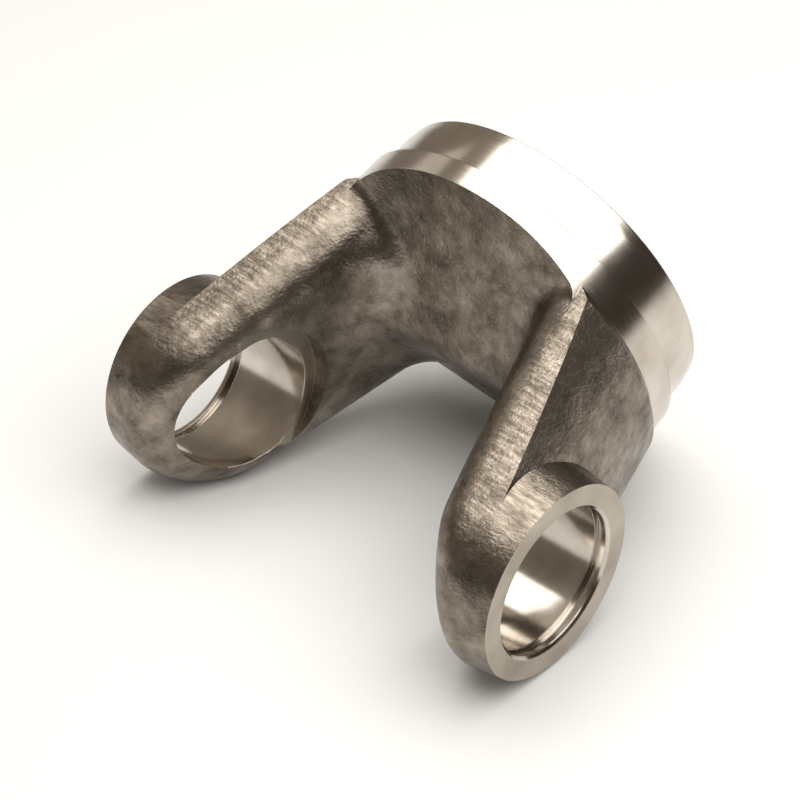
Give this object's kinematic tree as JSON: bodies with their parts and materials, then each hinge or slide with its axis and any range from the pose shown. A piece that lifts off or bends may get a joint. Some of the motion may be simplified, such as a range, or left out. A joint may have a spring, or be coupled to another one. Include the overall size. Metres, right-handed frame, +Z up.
{
  "type": "forged yoke",
  "caption": "Drive shaft weld yoke: one steel forging with two bored ears for a universal joint's cross and a turned ring that presses into a tube and is welded.",
  "frame": {"origin": "centre of the joint, where the bores' axis crosses the shaft's axis", "axes": "+X along the bores, +Z up from the surface that it lies on, +Y the way the tube leaves, which rises by the angle at which the yoke lies"},
  "size_m": [0.0982, 0.089, 0.0749],
  "materials": {
    "forged_steel": "hot forged steel with scale, ears and ring turned bright"
  },
  "bodies": {
    "root": {"forged_yoke": "forged_steel"}
  },
  "joints": []
}
